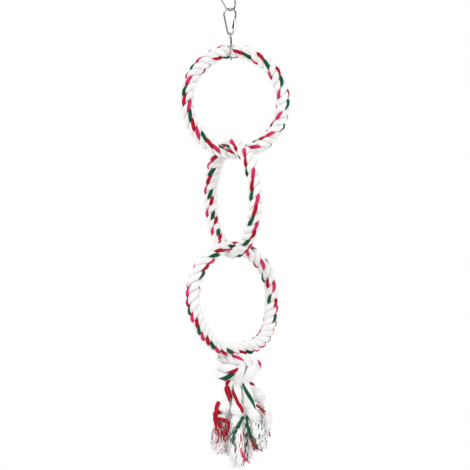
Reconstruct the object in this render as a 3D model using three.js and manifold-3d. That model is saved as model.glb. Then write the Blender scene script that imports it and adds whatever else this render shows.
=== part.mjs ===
// Rope ring perch: three interlinked rings of thick cotton rope that hang from a chain of
// three pear-shaped wire quick links. The ends of the lowest ring's rope are knotted under it
// and unlaid into six strands, each with its own knot and a frayed end.
// Millimetres, +Z up, +X to the right of the front view, which looks along +Y.
// The origin is the inside of the top bend of the hanging link, where a hook carries it.

import * as THREE from "three";
import { mergeVertices } from "three/addons/utils/BufferGeometryUtils.js";
import Module from "manifold-3d";

// Clearance between pieces that touch
const GAP = 0.3;

// Quick links: the wire, and the screw sleeve that closes each one
const WIRE = 2.4;
const NUT_LENGTH = 12;
const NUT_ACROSS_FLATS = 4.8;
const NUT_THREAD_GRIP = 1.6;

// Hanging link: its wide end is up, and its plane is turned and leans as it hangs
const HANGING_WIDE_RADIUS = 17;
const HANGING_NARROW_RADIUS = 10.5;
const HANGING_BEND_SPACING = 24;
const HANGING_YAW = 43;
const HANGING_LEAN = 22;
const HANGING_NUT_FROM_TOP = 6;

// Middle link and ring link: two alike, the second one upside down round the rope
const SMALL_WIDE_RADIUS = 8.1;
const SMALL_NARROW_RADIUS = 3.6;
const SMALL_BEND_SPACING = 24.7;
const MIDDLE_YAW = 0;
const MIDDLE_NUT_FROM_TOP = 7;
const RING_LINK_YAW = 82;
const RING_LINK_NUT_FROM_TOP = 5;

// Rope rings: half width and half height of the rope's centreline, and the turn about the vertical
const ROPE_DIAMETER = 20;
const TOP_RING = { halfWidth: 67, halfHeight: 69.7, yaw: 10 };
const MIDDLE_RING = { halfWidth: 70, halfHeight: 73.2, yaw: -64 };
const BOTTOM_RING = { halfWidth: 70, halfHeight: 69.9, yaw: 39 };

// Where the lowest ring is fuller or flatter than an oval: the turn from its highest point, how
// far it reaches to each side of that, both in degrees, and how far the rope stands out there
const BOTTOM_RING_SWELLS = [
  { at: 137, reach: 42, out: 7.5 },
  { at: 240, reach: 40, out: -3 },
];

// Where the rings carry each other, measured along the rope from a ring's highest or lowest point
const LINK_ON_TOP_RING = -4.8;
const MIDDLE_ON_TOP_RING = -6.9;
const BOTTOM_RING_ON_MIDDLE = 3.1;

// How much of the rope's inner half is left where two ropes press on each other
const UPPER_CROSSING_DEPTH = 4.6;
const LOWER_CROSSING_DEPTH = 2.5;
const CROSSING_FLAT = 13;
const CROSSING_FADE = 10;

// How the ring link squeezes the rope that it holds
const PINCH_FLAT = 7;
const PINCH_FADE = 9;

// Tassel knot: a long lump that lies slanting under the lowest ring
const KNOT_HALF_LENGTH = 29;
const KNOT_HALF_DEPTH = 18.5;
const KNOT_HALF_HEIGHT = 18;
const KNOT_SLANT = 12;
const KNOT_RIGHT_OF_RING = 3.7;
const KNOT_SINK_INTO_RING = 1.5;

// Strands of the unlaid rope: their necks stand in two rows under the knot
const STRAND_DIAMETER = 9.4;
const NECK_SPACING = 10.6;
const NECK_ROW_SPACING = 11;
const NECK_BELOW_KNOT = 2;
const TAIL_KNOT_RADIUS = 6.8;
const TAIL_KNOT_HALF_HEIGHT = 10.5;

// Each tail: its neck's column and row, and where its knot and its frayed end hang from the
// middle of the tassel knot (right, back, up), with the fringe's greatest half width and depth
const TAILS = [
  {
    name: "left",
    column: -1,
    row: -1,
    knot: [-19.5, -9, -52],
    end: [-30, -11, -114],
    fringe: [11, 9],
  },
  {
    name: "front",
    column: 0,
    row: -1,
    knot: [-1, -12, -55],
    end: [-2, -14, -138],
    fringe: [12, 10],
  },
  {
    name: "right",
    column: 1,
    row: -1,
    knot: [21, -10, -64],
    end: [31, -12, -112],
    fringe: [12, 9],
  },
  {
    name: "far_right",
    column: 1,
    row: 1,
    knot: [27, 12, -38],
    end: [38, 13, -99],
    fringe: [10, 9],
  },
  {
    name: "back",
    column: 0,
    row: 1,
    knot: [5, 13, -62],
    end: [8, 17, -136],
    fringe: [12, 10],
  },
  {
    name: "back_left",
    column: -1,
    row: 1,
    knot: [-17, 12, -66],
    end: [-21, 15, -121],
    fringe: [11, 9],
  },
];

// Fineness of the surfaces
const WIRE_SIDES = 8;
const BEND_STEP = 12;
const ROPE_SIDES = 16;
const ROPE_STEPS = 80;
const STRAND_SIDES = 10;
const STRAND_STEPS = 8;
const LUMP_SIDES = 20;
const LUMP_RINGS = 12;

const ropeRadius = ROPE_DIAMETER / 2;
const wireRadius = WIRE / 2;
const strandRadius = STRAND_DIAMETER / 2;
const wireStack = WIRE + GAP;
const nutCornerRadius = NUT_ACROSS_FLATS / Math.sqrt(3);
const up = new THREE.Vector3(0, 0, 1);

const radians = THREE.MathUtils.degToRad;

const wasm = await Module();
wasm.setup();

// Materials: polished nickel wire, and white cotton
function nickel() {
  return new THREE.MeshStandardMaterial({ color: 0xb9babb, metalness: 1, roughness: 0.22 });
}

function cotton() {
  return new THREE.MeshStandardMaterial({ color: 0xf1eee8, metalness: 0, roughness: 0.95 });
}

function named(name, geometry, material) {
  geometry.computeVertexNormals();
  const mesh = new THREE.Mesh(geometry, material);
  mesh.name = name;
  return mesh;
}

// Closed surface through rings of points: the rings join end to end, or the ends get flat caps.
function skin(rings, endless = false) {
  const sides = rings[0].length;
  const positions = rings.flat().flatMap((p) => [p.x, p.y, p.z]);
  const index = [];
  const at = (ring, side) => (ring % rings.length) * sides + (side % sides);
  for (let i = 0; i < (endless ? rings.length : rings.length - 1); i++) {
    for (let j = 0; j < sides; j++) {
      index.push(at(i, j), at(i, j + 1), at(i + 1, j + 1));
      index.push(at(i, j), at(i + 1, j + 1), at(i + 1, j));
    }
  }
  if (!endless) {
    const last = rings.length - 1;
    for (let j = 1; j < sides - 1; j++) {
      index.push(at(0, 0), at(0, j + 1), at(0, j));
      index.push(at(last, 0), at(last, j), at(last, j + 1));
    }
  }
  return new THREE.BufferGeometry()
    .setAttribute("position", new THREE.Float32BufferAttribute(positions, 3))
    .setIndex(index);
}

// A ring of points round a centre, in the plane of two directions, with its own radius each way
function sectionRing(centre, first, second, radiusFirst, radiusSecond, sides) {
  return Array.from({ length: sides }, (_, j) => {
    const a = (2 * Math.PI * j) / sides;
    return centre
      .clone()
      .addScaledVector(first, radiusFirst * Math.cos(a))
      .addScaledVector(second, radiusSecond * Math.sin(a));
  });
}

function solid(geometry) {
  const bare = new THREE.BufferGeometry()
    .setAttribute("position", geometry.getAttribute("position"))
    .setIndex(geometry.index);
  const merged = mergeVertices(bare, 1e-4);
  return new wasm.Manifold(
    new wasm.Mesh({
      numProp: 3,
      vertProperties: new Float32Array(merged.getAttribute("position").array),
      triVerts: new Uint32Array(merged.index.array),
    }),
  );
}

function geometryOf(made) {
  const { vertProperties, triVerts, numProp } = made.getMesh();
  const positions = [];
  for (let i = 0; i < vertProperties.length; i += numProp) {
    positions.push(vertProperties[i], vertProperties[i + 1], vertProperties[i + 2]);
  }
  return new THREE.BufferGeometry()
    .setAttribute("position", new THREE.Float32BufferAttribute(positions, 3))
    .setIndex([...triVerts]);
}

// The first geometry without the space of the others
function cut(geometry, ...cutters) {
  return geometryOf(cutters.reduce((left, c) => left.subtract(solid(c)), solid(geometry)));
}

// Pear outline of a link, in its own plane: the wide bend's centre is at 0, the narrow bend's
// centre is bendSpacing below it, and straight sides touch both.
class PearLink {
  constructor({ wide, narrow, bendSpacing, nutFromTop, upsideDown = false }) {
    Object.assign(this, { wide, narrow, bendSpacing, upsideDown });
    this.taper = Math.asin((wide - narrow) / bendSpacing);
    this.sideLength = bendSpacing * Math.cos(this.taper);
    this.nutStart = upsideDown ? this.sideLength - nutFromTop - NUT_LENGTH : nutFromTop;
    this.height = wide + narrow + bendSpacing;
    this.nutTravel = nutFromTop - GAP;
  }

  // Along the threaded side, from the wide bend towards the narrow one
  sidePoint(distance) {
    const turn = this.taper;
    return new THREE.Vector2(
      this.wide * Math.cos(turn) - distance * Math.sin(turn),
      -this.wide * Math.sin(turn) - distance * Math.cos(turn),
    );
  }

  // The opening that the sleeve closes: it lies just inside the sleeve's lower end
  openingEnds() {
    const lowEnd = this.upsideDown ? this.nutStart : this.nutStart + NUT_LENGTH;
    const inwards = this.upsideDown ? 1 : -1;
    const near = lowEnd + inwards * NUT_THREAD_GRIP;
    const far = lowEnd + inwards * (this.nutTravel - GAP);
    return [Math.min(near, far), Math.max(near, far)];
  }

  // The wire's centreline from one side of the opening round to the other, as [point, outward]
  centreline() {
    const [from, to] = this.openingEnds();
    const line = [];
    const side = (distance) => {
      const outward = new THREE.Vector2(Math.cos(this.taper), -Math.sin(this.taper));
      line.push([this.sidePoint(distance), outward]);
    };
    const bend = (radius, centreHeight, start, end) => {
      const steps = Math.ceil(Math.abs(end - start) / radians(BEND_STEP));
      for (let i = 0; i <= steps; i++) {
        const a = start + ((end - start) * i) / steps;
        const outward = new THREE.Vector2(Math.cos(a), Math.sin(a));
        const point = outward.clone().multiplyScalar(radius);
        line.push([point.setY(point.y + centreHeight), outward]);
      }
    };
    side(from);
    bend(this.wide, 0, -this.taper, Math.PI + this.taper);
    bend(this.narrow, -this.bendSpacing, Math.PI + this.taper, 2 * Math.PI - this.taper);
    side(to);
    return line;
  }

  // Half the clear width inside the wide bend, this high above the bottom of its centreline, for
  // something that passes through at this angle to the link's plane
  clearHalfWidth(height, solidRadius, angle) {
    const aboveCentre = height - this.wide;
    const radius = this.wide - solidRadius;
    if (aboveCentre <= 0) {
      return Math.sqrt(Math.max(0, radius ** 2 - aboveCentre ** 2)) * Math.sin(angle);
    }
    const centreline = this.wide / Math.cos(this.taper) - aboveCentre * Math.tan(this.taper);
    return centreline * Math.sin(angle) - solidRadius / Math.cos(this.taper);
  }

  // How high the sleeve's lowest corner stands above the bottom of an upside-down link
  nutLowHeight() {
    const sideFoot = this.wide * (1 + Math.sin(this.taper));
    const corner = nutCornerRadius * Math.sin(this.taper);
    return sideFoot + this.nutStart * Math.cos(this.taper) - corner;
  }

  wireGeometry() {
    const across = new THREE.Vector3(0, 1, 0);
    const rings = this.centreline().map(([point, outward]) =>
      sectionRing(
        new THREE.Vector3(point.x, 0, point.y),
        new THREE.Vector3(outward.x, 0, outward.y),
        across,
        wireRadius,
        wireRadius,
        WIRE_SIDES,
      ),
    );
    return skin(rings);
  }

  nutGeometry() {
    const outline = new THREE.Shape(
      Array.from({ length: 6 }, (_, i) => {
        const a = (i * Math.PI) / 3;
        return new THREE.Vector2(nutCornerRadius * Math.cos(a), nutCornerRadius * Math.sin(a));
      }),
    );
    const bore = new THREE.Path().absarc(0, 0, wireRadius + GAP, 0, 2 * Math.PI, true);
    outline.holes.push(bore);
    return new THREE.ExtrudeGeometry(outline, {
      depth: NUT_LENGTH,
      bevelEnabled: false,
      curveSegments: 6,
    });
  }

  // The link and its sleeve as a group, in the link's plane (X across, Z up)
  build(name) {
    const group = new THREE.Group();
    group.add(named(name, this.wireGeometry(), nickel()));
    const nut = named(name + "_nut", this.nutGeometry(), nickel());
    const start = this.sidePoint(this.nutStart);
    nut.position.set(start.x, 0, start.y);
    nut.rotation.y = Math.PI + this.taper;
    group.add(nut);
    if (this.upsideDown) {
      group.rotation.y = Math.PI;
    }
    return group;
  }
}

// Rope ring: an oval centreline in an upright plane, with the places where the rope is pressed
class RopeRing {
  constructor({ halfWidth, halfHeight, yaw }, centre, swells = []) {
    Object.assign(this, { halfWidth, halfHeight, centre, swells });
    this.across = new THREE.Vector3(Math.cos(radians(yaw)), Math.sin(radians(yaw)), 0);
    this.axis = new THREE.Vector3().crossVectors(this.across, up);
    this.presses = [];
  }

  // Turn from the highest point, for a distance along the rope near the top or the bottom
  turnAt(distance, atBottom = false) {
    return atBottom ? Math.PI - distance / this.halfWidth : distance / this.halfWidth;
  }

  point(turn) {
    const plain = new THREE.Vector3()
      .addScaledVector(this.across, this.halfHeight * Math.sin(turn))
      .addScaledVector(up, this.halfWidth * Math.cos(turn))
      .normalize();
    return this.centre
      .clone()
      .addScaledVector(this.across, this.halfWidth * Math.sin(turn))
      .addScaledVector(up, this.halfHeight * Math.cos(turn))
      .addScaledVector(plain, this.swell(turn));
  }

  swell(turn) {
    const degrees = THREE.MathUtils.euclideanModulo(THREE.MathUtils.radToDeg(turn), 360);
    return this.swells.reduce((sum, { at, reach, out }) => {
      const share = Math.min(Math.abs(degrees - at) / reach, 1);
      return sum + out * Math.cos((share * Math.PI) / 2) ** 2;
    }, 0);
  }

  outward(turn) {
    const step = 0.001;
    const along = this.point(turn + step).sub(this.point(turn - step));
    return new THREE.Vector3().crossVectors(this.axis, along).normalize();
  }

  // Distance along the rope between two turns, the short way round
  distance(turn, other) {
    const full = 2 * Math.PI;
    const apart = THREE.MathUtils.euclideanModulo(turn - other + Math.PI, full) - Math.PI;
    return apart * this.halfWidth;
  }

  press(turn, flat, fade, shape) {
    this.presses.push({ turn, flat, fade, shape });
  }

  // The rope's inner half is flattened to this depth where another rope crosses it
  flatten(turn, depth) {
    this.press(turn, CROSSING_FLAT, CROSSING_FADE, (radial, axial) => [
      radial < 0 ? (radial * depth) / ropeRadius : radial,
      axial,
    ]);
  }

  ring(turn, extra) {
    const centre = this.point(turn);
    const outward = this.outward(turn);
    return Array.from({ length: ROPE_SIDES }, (_, j) => {
      const a = (2 * Math.PI * j) / ROPE_SIDES;
      let radial = ropeRadius * Math.cos(a);
      let axial = ropeRadius * Math.sin(a);
      for (const { turn: place, flat, fade, shape } of this.presses) {
        const past = (Math.abs(this.distance(turn, place)) - flat) / fade;
        const share = 1 - THREE.MathUtils.smoothstep(past, 0, 1);
        const [pressedRadial, pressedAxial] = shape(radial, axial);
        radial += share * (pressedRadial - radial);
        axial += share * (pressedAxial - axial);
      }
      const grown = 1 + extra / ropeRadius;
      return centre
        .clone()
        .addScaledVector(outward, radial * grown)
        .addScaledVector(this.axis, axial * grown);
    });
  }

  // The whole ring of rope, or one swollen by extra all round to cut a neighbour with
  geometry(extra = 0) {
    const rings = Array.from({ length: ROPE_STEPS }, (_, i) =>
      this.ring((2 * Math.PI * i) / ROPE_STEPS, extra),
    );
    return skin(rings, true);
  }
}

// Egg-shaped lump round a centre, with its own radius along each of its directions
function lump(centre, radii, tilt = 0, sides = LUMP_SIDES, rings = LUMP_RINGS) {
  return new THREE.SphereGeometry(1, sides, rings)
    .scale(radii.x, radii.z, radii.y)
    .rotateX(Math.PI / 2)
    .rotateY(-tilt)
    .translate(centre.x, centre.y, centre.z);
}

// Round-sectioned body along a hand-placed curve, with its radii given along it
function limb(points, widths, depths) {
  const curve = new THREE.CatmullRomCurve3(points);
  const rings = widths.map((width, i) => {
    const t = i / (widths.length - 1);
    const along = curve.getPoint(t);
    const direction = curve.getTangent(t);
    const right = new THREE.Vector3().crossVectors(new THREE.Vector3(0, 1, 0), direction).normalize();
    const back = new THREE.Vector3().crossVectors(direction, right);
    return sectionRing(along, right, back, width, depths[i], STRAND_SIDES);
  });
  return skin(rings);
}

// The chain of links: each hangs on the bottom of the one above
const hangingLink = new PearLink({
  wide: HANGING_WIDE_RADIUS,
  narrow: HANGING_NARROW_RADIUS,
  bendSpacing: HANGING_BEND_SPACING,
  nutFromTop: HANGING_NUT_FROM_TOP,
});
const smallLinkSizes = {
  wide: SMALL_WIDE_RADIUS,
  narrow: SMALL_NARROW_RADIUS,
  bendSpacing: SMALL_BEND_SPACING,
};
const middleLink = new PearLink({ ...smallLinkSizes, nutFromTop: MIDDLE_NUT_FROM_TOP });
const ringLink = new PearLink({
  ...smallLinkSizes,
  nutFromTop: RING_LINK_NUT_FROM_TOP,
  upsideDown: true,
});

const hangingCentre = new THREE.Vector3(0, 0, -(HANGING_WIDE_RADIUS - wireRadius));
const leanSideways = HANGING_BEND_SPACING * Math.sin(radians(HANGING_LEAN));
const chain = new THREE.Vector3(
  leanSideways * Math.cos(radians(HANGING_YAW)),
  leanSideways * Math.sin(radians(HANGING_YAW)),
  0,
);
const hangingBottom =
  hangingCentre.z -
  HANGING_BEND_SPACING * Math.cos(radians(HANGING_LEAN)) -
  HANGING_NARROW_RADIUS;
const middleTop = hangingBottom + wireStack;
const middleBottom = middleTop - middleLink.height;
const ringLinkTop = middleBottom + wireStack;
const ringLinkBottom = ringLinkTop - ringLink.height;

function placed(group, { x, y, z }, yaw, lean = 0) {
  const leaning = new THREE.Group();
  leaning.add(group);
  leaning.rotation.y = radians(-lean);
  const turned = new THREE.Group();
  turned.add(leaning);
  turned.rotation.z = radians(yaw);
  turned.position.set(x, y, z);
  return turned;
}

// The rings: each one's highest inner side rests on the rope or wire that carries it
const ropeOnLink = ringLinkBottom + wireRadius + GAP;
const topRing = new RopeRing(TOP_RING, new THREE.Vector3());
const topRingApexDrop = topRing.point(0).z - topRing.point(topRing.turnAt(LINK_ON_TOP_RING)).z;
topRing.centre
  .copy(chain)
  .addScaledVector(topRing.across, -LINK_ON_TOP_RING)
  .setZ(ropeOnLink + ropeRadius + topRingApexDrop - TOP_RING.halfHeight);

const middleOnTop = topRing.turnAt(MIDDLE_ON_TOP_RING, true);
const middleRing = new RopeRing(MIDDLE_RING, topRing.point(middleOnTop));
const crossingRise = (ropeRadius * Math.abs(Math.sin(middleOnTop))) / 2;
middleRing.centre.z +=
  2 * UPPER_CROSSING_DEPTH + GAP + crossingRise - MIDDLE_RING.halfHeight;

const bottomRing = new RopeRing(BOTTOM_RING, middleRing.point(Math.PI), BOTTOM_RING_SWELLS);
const middleOnBottom = bottomRing.turnAt(BOTTOM_RING_ON_MIDDLE);
const bottomApexDrop = BOTTOM_RING.halfHeight * (1 - Math.cos(middleOnBottom));
bottomRing.centre.addScaledVector(bottomRing.across, -BOTTOM_RING_ON_MIDDLE);
bottomRing.centre.z += 2 * LOWER_CROSSING_DEPTH + GAP + bottomApexDrop - BOTTOM_RING.halfHeight;

topRing.flatten(middleOnTop, UPPER_CROSSING_DEPTH);
middleRing.flatten(0, UPPER_CROSSING_DEPTH);
middleRing.flatten(Math.PI, LOWER_CROSSING_DEPTH);
bottomRing.flatten(middleOnBottom, LOWER_CROSSING_DEPTH);

// The link squeezes the rope: the rope is as wide as the clear space between its two sides
const ropeThroughLink = radians(RING_LINK_YAW - TOP_RING.yaw);
const ropeFacet = 2 * ropeRadius * Math.sin(Math.PI / ROPE_SIDES);
topRing.press(topRing.turnAt(LINK_ON_TOP_RING), PINCH_FLAT, PINCH_FADE, (radial, axial) => {
  const height = wireRadius + GAP + ropeRadius + radial;
  const besideNut = height > ringLink.nutLowHeight() - ropeFacet;
  const wall = (besideNut ? nutCornerRadius : wireRadius) + GAP;
  const limit = ringLink.clearHalfWidth(height, wall, ropeThroughLink);
  return [radial, THREE.MathUtils.clamp(axial, -limit, limit)];
});

// The tassel: a knot under the lowest ring, and six tails that hang from sockets in it
const ringBottom = bottomRing.point(Math.PI);
const knotCentre = new THREE.Vector3(
  ringBottom.x + KNOT_RIGHT_OF_RING,
  ringBottom.y,
  ringBottom.z - ropeRadius - KNOT_HALF_HEIGHT + KNOT_SINK_INTO_RING,
);
const knotRadii = new THREE.Vector3(KNOT_HALF_LENGTH, KNOT_HALF_DEPTH, KNOT_HALF_HEIGHT);

function fromKnot([right, back, rise]) {
  return knotCentre.clone().add(new THREE.Vector3(right, back, rise));
}

// Height of the knot's underside at a place to the right of its middle and behind it
function undersideAt(right, back) {
  const slant = Math.tan(radians(KNOT_SLANT)) * right;
  const inside = 1 - (right / KNOT_HALF_LENGTH) ** 2 - (back / KNOT_HALF_DEPTH) ** 2;
  return slant - KNOT_HALF_HEIGHT * Math.sqrt(inside);
}

function buildTail({ name, column, row, knot, end, fringe }) {
  const right = column * NECK_SPACING;
  const back = (row * NECK_ROW_SPACING) / 2;
  const neck = fromKnot([right, back, undersideAt(right, back) - NECK_BELOW_KNOT]);
  const knotAt = fromKnot(knot);
  const endAt = fromKnot(end);
  const radii = new THREE.Vector3(TAIL_KNOT_RADIUS, TAIL_KNOT_RADIUS, TAIL_KNOT_HALF_HEIGHT);
  const swollen = radii.clone().addScalar(GAP);
  const down = new THREE.Vector3().subVectors(knotAt, neck).normalize();

  // A half ball at the neck, then the strand down into its knot
  const strandRings = [];
  const along = new THREE.Vector3().crossVectors(new THREE.Vector3(0, 1, 0), down).normalize();
  const behind = new THREE.Vector3().crossVectors(down, along);
  for (let i = 1; i <= STRAND_STEPS / 2; i++) {
    const a = (Math.PI / STRAND_STEPS) * i;
    const place = neck.clone().addScaledVector(down, -strandRadius * Math.cos(a));
    const radius = strandRadius * Math.sin(a);
    strandRings.push(sectionRing(place, along, behind, radius, radius, STRAND_SIDES));
  }
  strandRings.push(sectionRing(knotAt, along, behind, strandRadius, strandRadius, STRAND_SIDES));
  const strand = cut(skin(strandRings), lump(knotAt, swollen, 0, STRAND_SIDES, STRAND_STEPS));

  // The frayed end spreads from under the knot and closes in again at its tip
  const spread = [0.45, 0.62, 0.8, 0.95, 1, 0.86, 0.4];
  const frayed = cut(
    limb(
      [knotAt, knotAt.clone().lerp(endAt, 0.5), endAt],
      spread.map((share) => share * fringe[0]),
      spread.map((share) => share * fringe[1]),
    ),
    lump(knotAt, swollen, 0, STRAND_SIDES, STRAND_STEPS),
  );
  return {
    socket: lump(neck, new THREE.Vector3().setScalar(strandRadius + GAP), 0, STRAND_SIDES, 8),
    meshes: [
      named(name + "_strand", strand, cotton()),
      named(name + "_strand_knot", lump(knotAt, radii, 0, STRAND_SIDES, STRAND_STEPS), cotton()),
      named(name + "_fringe", frayed, cotton()),
    ],
  };
}

const tails = TAILS.map(buildTail);
const tasselKnot = cut(
  lump(knotCentre, knotRadii, radians(KNOT_SLANT)),
  bottomRing.geometry(GAP),
  ...tails.map((tail) => tail.socket),
);

const perch = new THREE.Group();
perch.add(placed(hangingLink.build("hanging_link"), hangingCentre, HANGING_YAW, HANGING_LEAN));
const middlePlace = chain.clone().setZ(middleTop - SMALL_WIDE_RADIUS);
perch.add(placed(middleLink.build("middle_link"), middlePlace, MIDDLE_YAW));
const ringLinkPlace = chain.clone().setZ(ringLinkBottom + SMALL_WIDE_RADIUS);
perch.add(placed(ringLink.build("ring_link"), ringLinkPlace, RING_LINK_YAW));
perch.add(named("top_rope_ring", topRing.geometry(), cotton()));
perch.add(named("middle_rope_ring", middleRing.geometry(), cotton()));
perch.add(named("bottom_rope_ring", bottomRing.geometry(), cotton()));
perch.add(named("tassel_knot", tasselKnot, cotton()));
for (const tail of tails) {
  perch.add(...tail.meshes);
}

export default perch;
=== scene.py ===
from math import asin, cos, degrees, pi, radians, sin, sqrt, tan

import bmesh
import bpy
from mathutils import Matrix, Quaternion, Vector


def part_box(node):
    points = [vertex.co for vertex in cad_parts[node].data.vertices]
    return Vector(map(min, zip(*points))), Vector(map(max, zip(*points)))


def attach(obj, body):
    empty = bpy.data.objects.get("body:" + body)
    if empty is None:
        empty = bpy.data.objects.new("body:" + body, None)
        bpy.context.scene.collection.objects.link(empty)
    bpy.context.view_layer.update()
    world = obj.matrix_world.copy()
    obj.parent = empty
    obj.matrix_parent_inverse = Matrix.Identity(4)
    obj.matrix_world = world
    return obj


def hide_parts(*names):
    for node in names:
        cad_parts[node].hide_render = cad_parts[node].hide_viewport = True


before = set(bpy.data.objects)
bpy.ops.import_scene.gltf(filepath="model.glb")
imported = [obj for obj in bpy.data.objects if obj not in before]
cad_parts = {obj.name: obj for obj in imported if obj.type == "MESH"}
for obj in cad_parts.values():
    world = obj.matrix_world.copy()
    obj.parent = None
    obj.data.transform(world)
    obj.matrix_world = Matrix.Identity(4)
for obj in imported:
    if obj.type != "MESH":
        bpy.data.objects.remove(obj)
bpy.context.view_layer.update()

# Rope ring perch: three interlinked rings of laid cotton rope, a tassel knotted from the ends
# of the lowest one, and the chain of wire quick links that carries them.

FULL = 2 * pi
UP = Vector((0, 0, 1))

# Camera: level, far away, with the photograph's scale and its slight roll
IMAGE_WIDTH = 470
METRES_PER_PIXEL = 0.00137
CAMERA_DISTANCE = 2.4
CAMERA_ROLL = 1.2
PICTURE_MIDDLE = (0.0071, -0.3570)
SENSOR_WIDTH = 36


def camera():
    lens = bpy.data.cameras.new("camera")
    lens.sensor_width = SENSOR_WIDTH
    lens.sensor_fit = "HORIZONTAL"
    lens.lens = SENSOR_WIDTH * CAMERA_DISTANCE / (IMAGE_WIDTH * METRES_PER_PIXEL)
    lens.clip_end = 100
    holder = added("camera", lens)
    roll = Quaternion((0, 1, 0), radians(CAMERA_ROLL))
    facing = Matrix.Rotation(pi / 2, 3, "X").to_quaternion()
    holder.rotation_mode = "QUATERNION"
    holder.rotation_quaternion = roll @ facing
    holder.location = (PICTURE_MIDDLE[0], -CAMERA_DISTANCE, PICTURE_MIDDLE[1])
    bpy.context.scene.camera = holder
    bpy.context.scene.view_settings.view_transform = "Standard"


def added(name, data):
    """A new object of some data, in the scene."""
    piece = bpy.data.objects.new(name, data)
    bpy.context.scene.collection.objects.link(piece)
    return piece


camera()

# Rope: three strands, each a bundle of yarns laid the other way, with a few dyed yarns in it
ROPE_RADIUS = 0.010
STRANDS = 3
YARNS = 12
DYED_YARNS = 3
RED, GREEN, PINK = 1, 2, 3
STRAND_OFFSET = 0.0052
YARN_OFFSET = 0.00385
YARN_RADIUS = 0.00098
LAYS = 12
LAY = 0.0365
POINTS_PER_LAY = 36
TURNS_BACK = 2.0

# Half width, half height and yaw in degrees of each ring's centreline, as in the part's source
RINGS = {
    "top_rope_ring": (0.0670, 0.0697, 10),
    "middle_rope_ring": (0.0700, 0.0732, -64),
    "bottom_rope_ring": (0.0700, 0.0699, 39),
}

# Where a ring is fuller or flatter than an oval: the angle and the reach to each side of it, in
# degrees, and how far outwards
SWELLS = {"bottom_rope_ring": [(137, 42, 0.0075), (240, 40, -0.0030)]}


# Node trees: plain arithmetic on a tree's values adds the nodes that it needs


class Value:
    """A number inside a node tree."""

    node = "ShaderNodeMath"

    def __init__(self, tree, socket):
        self.tree = tree
        self.socket = socket

    def of(self, operation, *others):
        """What a math node makes of this value and the others, in order."""
        return value_of(self.tree, add(self.tree, self.node, self, *others, operation=operation))

    def __add__(self, other):
        return self.of("ADD", other)

    def __sub__(self, other):
        return self.of("SUBTRACT", other)

    def __rsub__(self, other):
        return value_of(self.tree, add(self.tree, self.node, other, self, operation="SUBTRACT"))

    def __mul__(self, other):
        return self.of("MULTIPLY", other)

    def __truediv__(self, other):
        return self.of("DIVIDE", other)


class Arrow(Value):
    """A vector inside a node tree; multiplying it by a number scales it."""

    node = "ShaderNodeVectorMath"

    def __mul__(self, factor):
        node = add(self.tree, self.node, self, operation="SCALE")
        feed(self.tree, node.inputs["Scale"], factor)
        return Arrow(self.tree, node.outputs[0])


def value_of(tree, source):
    """A node's first live output, or a socket, as a value to calculate with."""
    socket = source if isinstance(source, bpy.types.NodeSocket) else shown(source)
    return (Arrow if socket.type == "VECTOR" else Value)(tree, socket)


def add(tree, kind, *values, **settings):
    """A new node with its settings, fed in order with numbers, values or other nodes' outputs."""
    node = tree.nodes.new(kind)
    for name, setting in settings.items():
        setattr(node, name, setting)
    sockets = [socket for socket in node.inputs if socket.enabled]
    for socket, value in zip(sockets, values):
        feed(tree, socket, value)
    return node


def feed(tree, socket, value):
    if isinstance(value, Value):
        value = value.socket
    if isinstance(value, bpy.types.NodeSocket):
        tree.links.new(value, socket)
    elif value is not None:
        socket.default_value = value


def plain_name(item):
    return item.name.replace(" ", "_").lower()


def feed_named(tree, node, **values):
    """Feeds a node's inputs by their names in small letters, with _ for a space."""
    for socket in node.inputs:
        feed(tree, socket, values.get(plain_name(socket)))
    return node


def shown(node):
    return next(socket for socket in node.outputs if socket.enabled)


def noise_at(tree, place, scale, detail):
    """A noise texture at a place."""
    noise = add(tree, "ShaderNodeTexNoise")
    return feed_named(tree, noise, vector=place, scale=scale, detail=detail)


def new_group(name, kind, inputs, outputs):
    """A node group, its inputs by name as values, and the node that takes its outputs. Inputs are
    given as name: default, or as name: socket type without one, and outputs as name: socket type."""
    tree = bpy.data.node_groups.new(name, kind)
    sorts = {int: "Int", float: "Float", 3: "Vector", 4: "Color"}
    for title, default in inputs.items():
        plain = isinstance(default, str)
        sort = default if plain else sorts[len(default) if type(default) is tuple else type(default)]
        socket = tree.interface.new_socket(title, in_out="INPUT", socket_type="NodeSocket" + sort)
        if not plain:
            socket.default_value = default
    for title, sort in outputs.items():
        tree.interface.new_socket(title, in_out="OUTPUT", socket_type="NodeSocket" + sort)
    given = tree.nodes.new("NodeGroupInput").outputs
    ask = {title: value_of(tree, given[title]) for title in inputs}
    return tree, ask, tree.nodes.new("NodeGroupOutput")


def stored(tree, name, kind="FLOAT"):
    return value_of(tree, add(tree, "GeometryNodeInputNamedAttribute", name, data_type=kind))


def store(tree, geometry, kind="FLOAT", **marks):
    """Geometry that carries the marks at its points."""
    for name, value in marks.items():
        node = add(
            tree, "GeometryNodeStoreNamedAttribute", geometry, None, name, value, data_type=kind,
            domain="POINT",
        )
        geometry = shown(node)
    return geometry


def random_value(tree, low, high, identity, seed):
    return value_of(tree, add(tree, "FunctionNodeRandomValue", low, high, identity, seed))


# Centrelines: polylines that carry their own directions


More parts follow.
